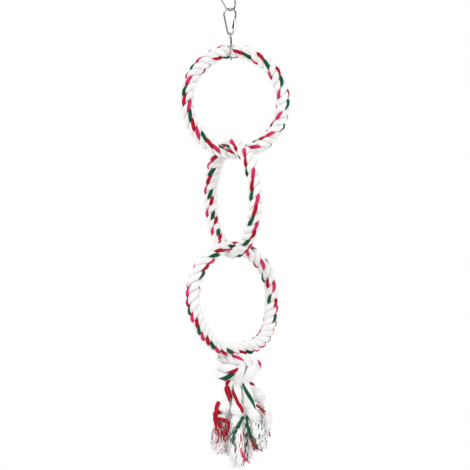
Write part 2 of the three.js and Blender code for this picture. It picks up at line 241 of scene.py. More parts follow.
def centreline(name, points, outward, closed=False, **marks):
    """A polyline with its direction, its outward side and the given numbers at each point."""
    count = len(points)
    edges = [(i, (i + 1) % count) for i in range(count if closed else count - 1)]
    mesh = bpy.data.meshes.new(name)
    mesh.from_pydata(points, edges, [])
    along = []
    for i in range(count):
        ahead = points[(i + 1) % count] if closed or i < count - 1 else points[i]
        behind = points[i - 1] if closed or i else points[i]
        along.append((ahead - behind).normalized())
    for mark in ("girth", "inner_keep", "side_keep"):
        marks.setdefault(mark, [1.0] * count)
    for mark in ("slip", "stripe_0", "stripe_1", "stripe_2"):
        marks.setdefault(mark, [0.0] * count)
    marks["along"] = [i / (count if closed else count - 1) for i in range(count)]
    for mark, values in marks.items():
        mesh.attributes.new(mark, "FLOAT", "POINT").data.foreach_set("value", values)
    for mark, vectors in (("tangent", along), ("outward", outward)):
        flat = [x for v in vectors for x in v]
        mesh.attributes.new(mark, "FLOAT_VECTOR", "POINT").data.foreach_set("vector", flat)
    return added(name, mesh)


STEPS_BETWEEN_KNOTS = 24


def smooth_path(knots, count):
    """Evenly spaced points on a smooth curve through the given ones."""
    knots = [Vector(k) for k in knots]
    ends = [knots[0] * 2 - knots[1]] + knots + [knots[-1] * 2 - knots[-2]]
    fine = []
    for a, b, c, d in zip(ends, ends[1:], ends[2:], ends[3:]):
        for i in range(STEPS_BETWEEN_KNOTS):
            t = i / STEPS_BETWEEN_KNOTS
            fine.append(
                0.5
                * (
                    2 * b
                    + (c - a) * t
                    + (2 * a - 5 * b + 4 * c - d) * t * t
                    + (3 * b - 3 * c + d - a) * t**3
                )
            )
    fine.append(knots[-1])
    reach = [0.0]
    for a, b in zip(fine, fine[1:]):
        reach.append(reach[-1] + (b - a).length)
    points, at = [], 0
    for i in range(count):
        want = reach[-1] * i / (count - 1)
        while at < len(reach) - 2 and reach[at + 1] < want:
            at += 1
        share = (want - reach[at]) / max(reach[at + 1] - reach[at], 1e-9)
        points.append(fine[at].lerp(fine[at + 1], share))
    return points


def carried_sides(points, first=Vector((0, -1, 0))):
    """A side direction at each point that turns no more than the path itself does."""
    sides = []
    before = None
    side = first
    for i, point in enumerate(points):
        ahead = points[min(i + 1, len(points) - 1)] - points[max(i - 1, 0)]
        ahead.normalize()
        if before is not None:
            side = before.rotation_difference(ahead) @ side
        side = (side - ahead * side.dot(ahead)).normalized()
        sides.append(side)
        before = ahead
    return sides


def fade(distance, flat, width):
    """1 within flat, falling smoothly to 0 over width."""
    t = min(max((abs(distance) - flat) / width, 0), 1)
    return 1 - t * t * (3 - 2 * t)


# Geometry Nodes: yarns laid into strands and strands into a rope, and the yarns of a frayed end


def copied(tree, centreline, amount):
    """Copies of a centreline as curves, and the number of each copy."""
    curve = shown(add(tree, "GeometryNodeMeshToCurve", centreline))
    copies = add(tree, "GeometryNodeDuplicateElements", domain="SPLINE")
    feed_named(tree, copies, geometry=curve, amount=amount)
    return copies.outputs["Geometry"], value_of(tree, copies.outputs["Duplicate Index"])


def directions(tree):
    """The stored directions of a centreline: along it, outwards, and to its flank."""
    tangent = stored(tree, "tangent", "FLOAT_VECTOR")
    outward = stored(tree, "outward", "FLOAT_VECTOR")
    return tangent, outward, tangent.of("CROSS_PRODUCT", outward)


def moved_by(tree, curves, offset):
    node = add(tree, "GeometryNodeSetPosition")
    return feed_named(tree, node, geometry=curves, offset=offset).outputs[0]


def tubes(tree, curves, sides, radius, scale, material):
    """Curves as smooth tubes that know the direction round them, with their material."""
    profile = add(tree, "GeometryNodeCurvePrimitiveCircle", mode="RADIUS")
    feed(tree, profile.inputs["Resolution"], sides)
    feed(tree, profile.inputs["Radius"], radius)
    rim = shown(add(tree, "GeometryNodeInputPosition"))
    outline = store(tree, profile.outputs["Curve"], "FLOAT_VECTOR", rim=rim)
    tube = add(tree, "GeometryNodeCurveToMesh", curves, outline, scale, True)
    mesh = shown(add(tree, "GeometryNodeSetShadeSmooth", tube.outputs[0], None, True))
    mesh = shown(add(tree, "GeometryNodeRealizeInstances", mesh))
    return shown(add(tree, "GeometryNodeSetMaterial", mesh, None, material))


def laid_rope_tree():
    tree, ask, result = new_group(
        "Laid rope",
        "GeometryNodeTree",
        {
            "Centreline": "Geometry",
            "Strands": STRANDS,
            "Yarns": YARNS,
            "Lay Turns": float(LAYS),
            "Turns Back": TURNS_BACK,
            "Strand Offset": STRAND_OFFSET,
            "Yarn Offset": YARN_OFFSET,
            "Yarn Radius": YARN_RADIUS,
            "Yarn Sides": 5,
            "Dyed Yarns": float(DYED_YARNS),
            "First Dye": 1.0,
            "Second Dye": 3.0,
            "Third Dye": 2.0,
            "Seed": 1,
            "Material": "Material",
        },
        {"Rope": "Geometry"},
    )
    curves, number = copied(tree, ask["Centreline"], ask["Strands"] * ask["Yarns"])
    strand = ((number + 0.5) / ask["Yarns"]).of("FLOOR")
    yarn = number - strand * ask["Yarns"]
    along = stored(tree, "along")
    girth = stored(tree, "girth")
    tangent, outward, flank = directions(tree)

    # Where the strand stands round the rope, and the yarn round its strand: a dyed yarn comes
    # to the outside where its strand crosses the stripe
    lay_turn = along * ask["Lay Turns"] + stored(tree, "slip") + strand / ask["Strands"]

    def by_strand(first, second, third):
        is_second = strand.of("COMPARE", 1.0, 0.5)
        is_third = strand.of("COMPARE", 2.0, 0.5)
        return is_third * (third - first) + is_second * (second - first) + first

    stripe = by_strand(*[stored(tree, "stripe_%d" % k) for k in range(STRANDS)])
    beyond = (lay_turn - stripe) * ask["Turns Back"]
    middle = (ask["Dyed Yarns"] - 1.0) * 0.5
    twist = ((yarn - middle) / ask["Yarns"] - beyond) * FULL

    def blended(a, b, angle):
        return a * angle.of("COSINE") + b * angle.of("SINE")

    length = value_of(tree, add(tree, "GeometryNodeSplineLength").outputs["Length"])
    slope = (ask["Lay Turns"] * FULL / length * ask["Strand Offset"]).of("ARCTANGENT")
    outwards = blended(outward, flank, lay_turn * FULL)
    around = tangent.of("CROSS_PRODUCT", outwards)
    across = blended(around, tangent * -1.0, slope)
    in_strand = blended(outwards, across, twist) * ask["Yarn Offset"]
    place = (outwards * ask["Strand Offset"] + in_strand) * girth

    # The rope is squeezed on its inner side, and from both flanks
    inner = place.of("DOT_PRODUCT", outward)
    inner = inner.of("MINIMUM", 0.0) * stored(tree, "inner_keep") + inner.of("MAXIMUM", 0.0)
    side = place.of("DOT_PRODUCT", flank) * stored(tree, "side_keep")
    ahead = place.of("DOT_PRODUCT", tangent)
    curves = moved_by(tree, curves, outward * inner + flank * side + tangent * ahead)

    # What the finish needs to know of each yarn; surface, how near the outside it lies, sets the
    # painted shade on deep yarns
    dye = by_strand(ask["First Dye"], ask["Second Dye"], ask["Third Dye"])
    several = ask["Strand Offset"].of("GREATER_THAN", 0.0)
    curves = store(
        tree, curves, dye=dye * yarn.of("LESS_THAN", ask["Dyed Yarns"]),
        shade=random_value(tree, 0.0, 1.0, number, ask["Seed"]),
        surface=1.0 - (1.0 - twist.of("COSINE")) * several, reach=along * length,
    )
    mesh = tubes(tree, curves, ask["Yarn Sides"], ask["Yarn Radius"], girth, ask["Material"])
    feed_named(tree, result, rope=mesh)
    return tree


FRINGE_LENGTH = 0.07

# How far the noise that threads wander by goes on along a thread, from one to the next, and by seed
DRIFT_STEPS = (2.2, 7.31, 3.17)
WANDER_GROWTH = 1.2
WANDER_GAIN = 4.0

# The least and the most of a thread's waves and crimp, and its girth at the root and what it loses
WAVE_RANGE = (0.75, 1.3)
CRIMP_RANGE = (0.4, 1.3)
THREAD_TAPER = (1.15, 0.5)


def frayed_end_tree():
    tree, ask, result = new_group(
        "Frayed end",
        "GeometryNodeTree",
        {
            "Centreline": "Geometry",
            "Threads": 90,
            "Thread Radius": 0.0005,
            "Thread Sides": 4,
            "Wander": 0.004,
            "Crimp": 0.0008,
            "Crimp Waves": 9.0,
            "Shortest": 0.55,
            "Dyed Share": 0.2,
            "Dye": 1.0,
            "Seed": 1,
            "Material": "Material",
        },
        {"Fringe": "Geometry"},
    )
    curves, number = copied(tree, ask["Centreline"], ask["Threads"])

    def seeded(step, low=0.0, high=1.0):
        return random_value(tree, low, high, number, ask["Seed"] + float(step))

    along = stored(tree, "along")
    tangent, outward, flank = directions(tree)
    angle = seeded(1, 0.0, FULL)
    spread = seeded(2).of("SQRT")

    # Each thread wanders slowly by itself and keeps the crimp of the strand that it was laid in
    steps = zip((along, number, ask["Seed"]), DRIFT_STEPS)
    drift = add(tree, "ShaderNodeCombineXYZ", *[value * step for value, step in steps])
    noise = noise_at(tree, shown(drift), scale=1.0, detail=1.0)
    wandering = Arrow(tree, noise.outputs["Color"]) - (0.5, 0.5, 0.5)
    wandering = wandering * (along.of("POWER", WANDER_GROWTH) * ask["Wander"] * WANDER_GAIN)
    waves = ask["Crimp Waves"] * seeded(4, *WAVE_RANGE)
    phase = along * waves * FULL + seeded(5, 0.0, FULL)
    curl = ask["Crimp"] * seeded(6, *CRIMP_RANGE)
    deep = angle.of("COSINE") * spread * stored(tree, "depth") + phase.of("COSINE") * curl
    wide = angle.of("SINE") * spread * stored(tree, "width") + phase.of("SINE") * curl
    curves = moved_by(tree, curves, outward * deep + flank * wide + wandering)
    # surface is how far out in the fringe a thread lies; the material paints shade on the inner threads
    curves = store(
        tree, curves, dye=seeded(7).of("LESS_THAN", ask["Dyed Share"]) * ask["Dye"], shade=seeded(8),
        surface=spread, reach=along * FRINGE_LENGTH,
    )
    beyond = along.of("GREATER_THAN", seeded(3, ask["Shortest"], 1.0))
    cut = shown(add(tree, "GeometryNodeDeleteGeometry", curves, beyond, domain="POINT"))
    scale = THREAD_TAPER[0] - along * THREAD_TAPER[1]
    mesh = tubes(tree, cut, ask["Thread Sides"], ask["Thread Radius"], scale, ask["Material"])
    feed_named(tree, result, fringe=mesh)
    return tree


def made_by(name, line, tree, **values):
    """The plain mesh that a tree makes of a centreline."""
    modifier = line.modifiers.new("make", "NODES")
    modifier.node_group = tree
    for item in tree.interface.items_tree:
        if item.in_out == "INPUT" and plain_name(item) in values:
            modifier[item.identifier] = values[plain_name(item)]
    graph = bpy.context.evaluated_depsgraph_get()
    mesh = bpy.data.meshes.new_from_object(
        line.evaluated_get(graph), preserve_all_data_layers=True, depsgraph=graph
    )
    mesh.name = name
    bpy.data.objects.remove(line)
    return added(name, mesh)


def joined(name, pieces):
    """One mesh object from several that share their materials."""
    together = bmesh.new()
    for piece in pieces:
        together.from_mesh(piece.data)
    mesh = pieces[0].data.copy()
    together.to_mesh(mesh)
    together.free()
    mesh.name = name
    for piece in pieces:
        bpy.data.objects.remove(piece)
    return added(name, mesh)


# Shader groups

CREVICE_SHARPNESS = 3.0

# How much of a yarn's unevenness is grain, and between which surface values deep yarns get painted
# shade
GRAIN_SHARE = 0.6
SHADED_FROM = 0.50
SHADED_TO = -0.45

# Bumps are given as strength and distance
GRAIN_HEIGHT = 0.6
COTTON_ROUGHNESS = 0.92
COTTON_BUMP = (0.6, 0.00022)
METAL_BUMP = (0.15, 0.00005)

# The noise levels between which plated wire goes dull, and how much of its colour it keeps there
DULL_SPOTS = (0.45, 0.75)
DULLED = 0.86
SCRATCH_STRETCH = (1, 1, 0.12)


def yarn_plies_group():
    """Fine diagonal plies round a yarn, from its rim direction and the distance along it."""
    tree, ask, result = new_group(
        "Yarn plies",
        "ShaderNodeTree",
        {
            "Rim": (0, 0, 0),
            "Reach": 0.0,
            "Plies": 3.0,
            "Pitch": 0.006,
        },
        {"Height": "Float", "Crevice": "Float"},
    )
    parts = add(tree, "ShaderNodeSeparateXYZ", ask["Rim"])
    angle = value_of(tree, parts.outputs[1]).of("ARCTAN2", parts.outputs[0])
    phase = angle + ask["Reach"] / ask["Pitch"] * FULL
    height = (phase * ask["Plies"]).of("COSINE") * 0.5 + 0.5
    # The crevice mask marks the grooves between plies, where the cotton's colour gets painted shade
    crevice = (1.0 - height).of("POWER", CREVICE_SHARPNESS)
    feed_named(tree, result, height=height, crevice=crevice)
    return tree


def dyed_cotton_group():
    """The yarn's colour: bare cotton or one of three dyes, each a little uneven, with painted shade in
    the crevices between plies and on yarns that lie deep in the rope or fringe.
    """
    tree, ask, result = new_group(
        "Dyed cotton",
        "ShaderNodeTree",
        {
            "Dye": 0.0,
            "Shade": 0.5,
            "Surface": 1.0,
            "Crevice": 0.0,
            "Place": (0, 0, 0),
            "Bare": (0.92, 0.91, 0.895, 1),
            "Red": (0.42, 0.003, 0.020, 1),
            "Green": (0.004, 0.090, 0.036, 1),
            "Pink": (0.66, 0.020, 0.125, 1),
            "Painted Depth Shade": (0.70, 0.68, 0.67, 1),
            "Unevenness": 0.12,
            "Crevice Shadow": 0.16,
            "Grain": 240.0,
        },
        {"Color": "Color", "Height": "Float"},
    )
    coat = ask["Bare"]
    for number, name in ((RED, "Red"), (GREEN, "Green"), (PINK, "Pink")):
        near = ask["Dye"].of("COMPARE", float(number), 0.5)
        coat = mixed(tree, "MIX", near, coat, ask[name])
    noise = noise_at(tree, ask["Place"], ask["Grain"], detail=4.0)
    fine = value_of(tree, noise.outputs["Fac"]) * GRAIN_SHARE + ask["Shade"] * (1 - GRAIN_SHARE)
    level = (0.5 - fine) * ask["Unevenness"] * 2.0 + 1.0
    # Painted shade in the crevices between plies
    level = level * (1.0 - ask["Crevice"] * ask["Crevice Shadow"])
    coat = mixed(tree, "MULTIPLY", 1.0, coat, grey(tree, level))
    # Painted shade: yarns that lie deep in the rope or the fringe are darkened towards a grey tint
    inside = add(tree, "ShaderNodeMapRange", ask["Surface"], SHADED_FROM, SHADED_TO, 0.0, 1.0)
    coat = mixed(tree, "MULTIPLY", shown(inside), coat, ask["Painted Depth Shade"])
    feed_named(tree, result, color=coat, height=noise.outputs["Fac"])
    return tree


def mixed(tree, blend, factor, a, b):
    node = add(tree, "ShaderNodeMix", data_type="RGBA", blend_type=blend)
    feed(tree, node.inputs[0], factor)
    feed(tree, node.inputs[6], a)
    feed(tree, node.inputs[7], b)
    return node.outputs[2]


def grey(tree, value):
    node = tree.nodes.new("ShaderNodeCombineColor")
    for socket in node.inputs:
        feed(tree, socket, value)
    return node.outputs[0]


def handling_marks_group():
    """Fine scratches and dull spots of plated wire that has been handled."""
    tree, ask, result = new_group(
        "Handling marks",
        "ShaderNodeTree",
        {
            "Place": (0, 0, 0),
            "Scratch Size": 900.0,
            "Spot Size": 160.0,
            "Roughest": 0.3,
            "Smoothest": 0.08,
        },
        {"Roughness": "Float", "Height": "Float", "Dullness": "Float"},
    )
    stretched = add(tree, "ShaderNodeMapping")
    feed_named(tree, stretched, vector=ask["Place"], scale=SCRATCH_STRETCH)
    scratches = noise_at(tree, shown(stretched), ask["Scratch Size"], detail=6.0).outputs["Fac"]
    spots = noise_at(tree, ask["Place"], ask["Spot Size"], detail=3.0).outputs["Fac"]
    dull = value_of(tree, add(tree, "ShaderNodeMapRange", spots, *DULL_SPOTS, 0.0, 1.0))
    both = (dull + scratches) * 0.5
    roughness = both * (ask["Roughest"] - ask["Smoothest"]) + ask["Smoothest"]
    feed_named(tree, result, roughness=roughness, height=scratches, dullness=dull)
    return tree


# Materials


def new_material(name):
    """A material, its tree and its surface shader."""
    material = bpy.data.materials.new(name)
    material.use_nodes = True
    tree = material.node_tree
    return material, tree, tree.nodes["Principled BSDF"]


def attribute(tree, name, output):
    return add(tree, "ShaderNodeAttribute", attribute_name=name).outputs[output]


def use_group(tree, group, **values):
    return feed_named(tree, add(tree, "ShaderNodeGroup", node_tree=group), **values)


def bump(tree, height, strength, distance):
    node = add(tree, "ShaderNodeBump")
    feed_named(tree, node, strength=strength, distance=distance, height=height)
    return node.outputs["Normal"]


def cotton_material(name, plies, pitch, unevenness, sheen, bare, through, depth):
    material, tree, shader = new_material(name)
    place = add(tree, "ShaderNodeTexCoord").outputs["Object"]
    plies_seen = use_group(
        tree, YARN_PLIES, rim=attribute(tree, "rim", "Vector"), reach=attribute(tree, "reach", "Fac"),
        plies=plies, pitch=pitch,
    )
    colour = use_group(
        tree, DYED_COTTON, dye=attribute(tree, "dye", "Fac"), shade=attribute(tree, "shade", "Fac"),
        surface=attribute(tree, "surface", "Fac"), crevice=plies_seen.outputs["Crevice"], place=place,
        unevenness=unevenness, bare=bare,
    )
    height = value_of(tree, colour.outputs["Height"]) * GRAIN_HEIGHT + plies_seen.outputs["Height"]
    feed_named(
        tree, shader, base_color=colour.outputs["Color"], roughness=COTTON_ROUGHNESS,
        specular_ior_level=0.25, sheen_weight=sheen, sheen_roughness=0.5, subsurface_weight=through,
        subsurface_radius=(1.0, 0.9, 0.85), subsurface_scale=depth,
        normal=bump(tree, height, *COTTON_BUMP),
    )
    return material


def metal_material(name, colour, smoothest, roughest, scratch_size):
    material, tree, shader = new_material(name)
    place = add(tree, "ShaderNodeTexCoord").outputs["Object"]
    marks = use_group(
        tree, HANDLING_MARKS, place=place, scratch_size=scratch_size, roughest=roughest,
        smoothest=smoothest,
    )
    dull = [part * DULLED for part in colour[:3]] + [1]
    dulled = mixed(tree, "MIX", marks.outputs["Dullness"], colour, dull)
    feed_named(
        tree, shader, base_color=dulled, metallic=1.0, roughness=marks.outputs["Roughness"],
        normal=bump(tree, marks.outputs["Height"], *METAL_BUMP),
    )
    return material


YARN_PLIES = yarn_plies_group()
DYED_COTTON = dyed_cotton_group()
HANDLING_MARKS = handling_marks_group()
rope_cotton = cotton_material(
    "laid_cotton", plies=3.0, pitch=0.006, unevenness=0.10, sheen=0.08, bare=(0.93, 0.92, 0.905, 1),
    through=0.4, depth=0.0025,
)
loose_cotton = cotton_material(
    "loose_cotton_yarn", plies=2.0, pitch=0.004, unevenness=0.10, sheen=0.10,
    bare=(0.955, 0.95, 0.94, 1), through=0.0, depth=0.001,
)
wire_nickel = metal_material(
    "nickel_wire", colour=(0.56, 0.55, 0.53, 1), smoothest=0.06, roughest=0.20, scratch_size=900.0,
)
sleeve_nickel = metal_material(
    "nickel_sleeve", colour=(0.74, 0.73, 0.70, 1), smoothest=0.10, roughest=0.28, scratch_size=1400.0,
)
LAID_ROPE = laid_rope_tree()
FRAYED_END = frayed_end_tree()


# Rope rings

ANGLE_STEP = 0.001


class Ring:
    """A ring's oval centreline, placed by its solid."""

    def __init__(self, node):
        low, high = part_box(node)
        self.node = node
        self.centre = (low + high) / 2
        self.half_width, self.half_height, yaw = RINGS[node]
        self.across = Vector((cos(radians(yaw)), sin(radians(yaw)), 0))
        self.axis = self.across.cross(UP)

    def swell(self, angle):
        turned = degrees(angle) % 360
        total = 0.0
        for at, reach, out in SWELLS.get(self.node, []):
            share = min(abs(turned - at) / reach, 1)
            total += out * cos(share * pi / 2) ** 2
        return total

    def point(self, angle):
        plain = self.across * self.half_height * sin(angle)
        plain = (plain + UP * self.half_width * cos(angle)).normalized()
        rise = UP * self.half_height * cos(angle)
        oval = self.centre + self.across * self.half_width * sin(angle) + rise
        return oval + plain * self.swell(angle)

    def outward(self, angle):
        along = self.point(angle + ANGLE_STEP) - self.point(angle - ANGLE_STEP)
        return self.axis.cross(along).normalized()

    def distance(self, angle, other):
        return ((angle - other + pi) % FULL - pi) * self.half_width


def course(start, gain, *swells):
    """A course round a ring, in turns: a start, a steady gain a round, and swells given as
    (share of the round, reach to each side, how much)."""

    def at(share):
        value = start + gain * share
        for middle, reach, amount in swells:
            apart = abs((share - middle + 0.5) % 1 - 0.5)
            value += amount * cos(min(apart / reach, 1) * pi / 2) ** 2
        return value

    return at


# How far along a ring the rope is flat or drawn in at a crossing and at the ring link, how far it
# takes to be round again, and how much wider it is where it is flattened
CROSSING_FLAT = 0.013
CROSSING_FADE = 0.012
CROSSING_SPREAD = 0.10
PINCH_FLAT = 0.0035
PINCH_FADE = 0.0125
SLACK_FADE = 0.014


def dye_inputs(dyes):
    """The rope tree's inputs for the dyes of its three strands."""
    return {key + "_dye": float(dye) for key, dye in zip(("first", "second", "third"), dyes)}


def rope_ring(which, crossings, slip, stripes, dyes, seed, pinch=(), slack=()):
    """One ring of rope. slip is how far the lay runs ahead round the ring, and stripes say at which
    side of the rope each strand's dyed yarns come out, each as a course in turns. crossings give
    an angle and the depth left on the inner side, pinch an angle and the share of the width kept,
    and slack an angle, a reach and a gain in thickness."""
    name, node, body = which + "_ring_rope", which + "_rope_ring", which + "_ring"
    ring = Ring(node)
    count = LAYS * POINTS_PER_LAY
    angles = [FULL * i / count for i in range(count)]
    inner, side, girth = [], [], []
    for angle in angles:
        pressed, squeezed, thick = 1.0, 1.0, 1.0
        for place, depth in crossings:
            share = fade(ring.distance(angle, place), CROSSING_FLAT, CROSSING_FADE)
            pressed += share * (depth / ROPE_RADIUS - 1)
            squeezed += share * CROSSING_SPREAD
        for place, keep in pinch:
            squeezed += fade(ring.distance(angle, place), PINCH_FLAT, PINCH_FADE) * (keep - 1)
        for place, flat, gain in slack:
            thick += fade(ring.distance(angle, place), flat, SLACK_FADE) * gain
        inner.append(pressed)
        side.append(squeezed)
        girth.append(thick)
    courses = {"slip": slip, **{"stripe_%d" % k: stripe for k, stripe in enumerate(stripes)}}
    marks = {mark: [at(i / count) for i in range(count)] for mark, at in courses.items()}
    line = centreline(
        name + "_line", [ring.point(a) for a in angles], [ring.outward(a) for a in angles], closed=True,
        inner_keep=inner, side_keep=side, girth=girth, **marks,
    )
    piece = made_by(
        name, line, LAID_ROPE, lay_turns=float(LAYS), seed=seed, material=rope_cotton,
        **dye_inputs(dyes),
    )
    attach(piece, body)
    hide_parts(node)


# Where the rings cross and where the ring link sits, as angles round a ring from its highest place;
# how deep the rope stays on its inner side at a crossing, and how wide under the ring link
UPPER_CROSSING = pi + 0.0069 / RINGS["top_rope_ring"][0]
LOWER_CROSSING = 0.0031 / RINGS["bottom_rope_ring"][0]
RING_LINK_SEAT = -0.0048 / RINGS["top_rope_ring"][0]
UPPER_CROSSING_DEPTH = 0.0046
LOWER_CROSSING_DEPTH = 0.0025
RING_LINK_KEEP = 0.56
rope_ring(
    "top",
    crossings=[(UPPER_CROSSING, UPPER_CROSSING_DEPTH)],
    pinch=[(RING_LINK_SEAT, RING_LINK_KEEP)],
    slip=course(0.10, 1, (0.60, 0.32, 0.40), (0.92, 0.15, 0.10)),
    stripes=(
        course(0.30, -1, (0.71, 0.20, 0.12)), course(0.50, -0.5, (0.74, 0.15, 0.15)),
        course(0.40, -1, (0.70, 0.12, 0.06)),
    ),
    dyes=(RED, PINK, GREEN),
    seed=3,
)
rope_ring(
    "middle",
    crossings=[(0.0, UPPER_CROSSING_DEPTH), (pi, LOWER_CROSSING_DEPTH)],
    slack=[(radians(-50), 0.014, 0.10)],
    slip=course(0.32, 1, (0.76, 0.38, 0.45)),
    stripes=(
        course(0.25, -0.5, (0.40, 0.20, -0.08), (0.70, 0.12, 0.11)), course(0.15, -0.5),
        course(0.30, -0.5, (0.11, 0.10, 0.10), (0.52, 0.15, -0.07)),
    ),
    dyes=(RED, PINK, GREEN),
    seed=5,
)
rope_ring(
    "bottom",
    crossings=[(LOWER_CROSSING, LOWER_CROSSING_DEPTH)],
    slip=course(0.0, 1, (0.27, 0.20, -0.26), (0.72, 0.22, 0.25)),
    stripes=(
        course(0.65, -1, (0.34, 0.18, -0.20), (0.68, 0.15, 0.14)),
        course(0.72, -1, (0.38, 0.16, -0.25), (0.86, 0.12, -0.10)),
        course(0.38, -0.5, (0.38, 0.18, -0.12), (0.92, 0.12, -0.12)),
    ),
    dyes=(RED, GREEN, PINK),
    seed=7,
)


# Tassel knot

KNOT_RIGHT_OF_RING = 0.0037
KNOT_SINK_INTO_RING = 0.0015
KNOT_HALF_SIZES_MM = (29, 18.5, 18)
KNOT_SLANT = 12
STRAND_YARN_OFFSET = 0.0037

ring_low, ring_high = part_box("bottom_rope_ring")
knot_centre = (ring_low + ring_high) / 2 + Vector((KNOT_RIGHT_OF_RING, 0, 0))
knot_centre.z = ring_low.z - KNOT_HALF_SIZES_MM[2] / 1000 + KNOT_SINK_INTO_RING


def from_knot(*place):
    """A place given in millimetres to the right of, behind and above the tassel knot's middle."""
    return knot_centre + Vector(place[:3]) / 1000


def path_with_girth(places, count):
    """Points and girths along a smooth path through (right, back, rise, girth)."""
    fine = smooth_path([(*from_knot(*place), place[3] / 1000) for place in places], count)
    return [point.to_3d() for point in fine], [point.w * 1000 for point in fine]


def path_length(points):
    return sum((b - a).length for a, b in zip(points, points[1:]))


POINTS_PER_PASS = 96
FINE_YARN_FULLNESS = 1.15


def rope_pass(name, places, slip, stripe, seed, dyes=(RED, PINK, GREEN)):
    """A stretch of the laid rope along a path in the knot."""
    points, girth = path_with_girth(places, POINTS_PER_PASS)
    lays = path_length(points) / (LAY * sum(girth) / len(girth))
    count = len(points)
    marks = {"stripe_%d" % k: [stripe] * count for k in range(STRANDS)}
    line = centreline(
        name + "_line", points, carried_sides(points), girth=girth, slip=[slip] * count, **marks
    )
    return made_by(
        name, line, LAID_ROPE, lay_turns=lays, seed=seed, material=rope_cotton, **dye_inputs(dyes),
    )


def strand_pass(name, places, dye, dyed, turns, seed, count=60, fine=1):
    """A stretch of one unlaid strand. turns are the dyed yarns' side at its start and its end;
    fine is how many times more yarns show round it than in the laid rope."""
    points, girth = path_with_girth(places, count)
    shares = [i / (count - 1) for i in range(count)]
    stripe = [(turns[0] + (turns[1] - turns[0]) * t) / TURNS_BACK for t in shares]
    line = centreline(name + "_line", points, carried_sides(points), girth=girth, stripe_0=stripe)
    yarn_radius = YARN_RADIUS
    if fine > 1:
        yarn_radius = YARN_RADIUS / fine * FINE_YARN_FULLNESS
    return made_by(
        name, line, LAID_ROPE, strands=1, strand_offset=0.0, yarn_offset=STRAND_YARN_OFFSET,
        yarns=YARNS * fine, yarn_radius=yarn_radius, lay_turns=0.0, first_dye=float(dye),
        dyed_yarns=float(dyed * fine), seed=seed, material=rope_cotton,
    )


knot_pieces = [
    rope_pass(
        "front_wrap",
        [
            (16, 3, 9, 0.8), (8, -1, 8, 0.95), (-1, -6.5, 5, 1.15),
            (-10, -7, -0.5, 1.32), (-17, -1, -5, 1.32), (-16, 6, -5, 1.2),
            (-6, 9, 0, 1.1), (6, 9, 6, 0.95), (15, 8, 9, 0.85),
        ],
        slip=0.353,
        stripe=-0.06,
        seed=11,
    ),
    rope_pass(
        "upper_turn",
        [
            (-24, 3, 16, 0.7), (-13, -4, 15, 0.8), (-1, -8, 13.5, 0.88),
            (11, -8, 12, 0.92), (21, -4, 9, 0.92), (25, 3, 4, 0.88),
            (20, 9, 0, 0.85), (8, 10, -5, 0.85), (-4, 7, -8, 0.85),
        ],
        slip=-0.30,
        stripe=-0.08,
        dyes=(0, PINK, 0),
        seed=12,
    ),
    strand_pass(
        "right_root",
        [
            (25, 0, 8, 1.2), (22, -5, 2, 1.8), (18, -7.5, -6, 2.0),
            (12.5, -7.2, -13, 1.6), (9.6, -5.5, -18.5, 1.25),
        ],
        dye=GREEN,
        dyed=2,
        turns=(0.33, 0.21),
        seed=13,
        fine=2,
    ),
    strand_pass(
        "middle_root",
        [
            (9, -4, 11, 1.0), (6.5, -10.5, 4, 1.4), (3.5, -12, -4, 1.5),
            (2, -9.5, -12, 1.45), (1.4, -5.8, -20.5, 1.35),
        ],
        dye=RED,
        dyed=0,
        turns=(0.0, 0.2),
        seed=14,
        fine=2,
    ),
]


# Tails: an unlaid strand with a knot in it, and its frayed end. column and row say where it leaves
# the tassel knot; knot and end are places in millimetres from that knot's middle, and fringe the
# frayed end's half width and half depth. dyed and wrap count dyed yarns of twelve, in the strand and
# in the turn round its own knot, turns are their side at its start and end, and share is how many of
# the loose yarns are dyed. winding is where the turn round the knot starts, in radians.
TAILS = {
    "left": dict(
        column=-1, row=-1, knot=(-19.5, -9, -52), end=(-30, -11, -114), fringe=(11, 9),
        dye=RED, dyed=4, share=0.16, turns=(0.22, -0.80), wrap=7, winding=1.3,
    ),
    "front": dict(
        column=0, row=-1, knot=(-1, -12, -55), end=(-2, -14, -138), fringe=(12, 10),
        dye=RED, dyed=2, share=0.05, turns=(0.38, -0.34), wrap=0, winding=4.2,
    ),
    "right": dict(
        column=1, row=-1, knot=(21, -10, -64), end=(31, -12, -112), fringe=(12, 9),
        dye=GREEN, dyed=2, share=0.10, turns=(0.22, -0.46), wrap=0, winding=2.4,
    ),
    "far_right": dict(
        column=1, row=1, knot=(27, 12, -38), end=(38, 13, -99), fringe=(10, 9),
        dye=RED, dyed=2, share=0.12, turns=(0.10, -0.90), wrap=0, winding=3.3,
    ),
    "back": dict(
        column=0, row=1, knot=(5, 13, -62), end=(8, 17, -136), fringe=(12, 10),
        dye=GREEN, dyed=3, share=0.16, turns=(0.8, 0.0), wrap=2, winding=0.4,
    ),
    "back_left": dict(
        column=-1, row=1, knot=(-17, 12, -66), end=(-21, 15, -121), fringe=(11, 9),
        dye=PINK, dyed=3, share=0.14, turns=(1.0, 0.2), wrap=3, winding=5.0,
    ),
}

NECK_SPACING = 10.6
NECK_HALF_ROW_SPACING = 5.5
NECK_BELOW_KNOT = 2


def neck_of(tail):
    """Where a tail leaves the underside of the tassel knot, in millimetres from its middle."""
    right = tail["column"] * NECK_SPACING
    back = tail["row"] * NECK_HALF_ROW_SPACING
    half_length, half_depth, half_height = KNOT_HALF_SIZES_MM
    inside = 1 - (right / half_length) ** 2 - (back / half_depth) ** 2
    under = tan(radians(KNOT_SLANT)) * right - half_height * sqrt(inside)
    return Vector((right, back, under - NECK_BELOW_KNOT))


# A tail's girths: below its neck in millimetres, at shares of the run down to its knot, and below
# the middle of that knot in millimetres
NECK_GIRTHS = ((0, 0.7), (2.2, 0.9), (5, 1.15))
RUN_GIRTHS = ((0.35, 1.3), (0.7, 1.42))
KNOT_GIRTHS = ((-10.5, 1.24), (-6, 1.72), (-0.5, 1.98), (4.5, 1.75), (8.5, 1.2), (11.5, 0.8))
RUN_ABOVE_KNOT = 11

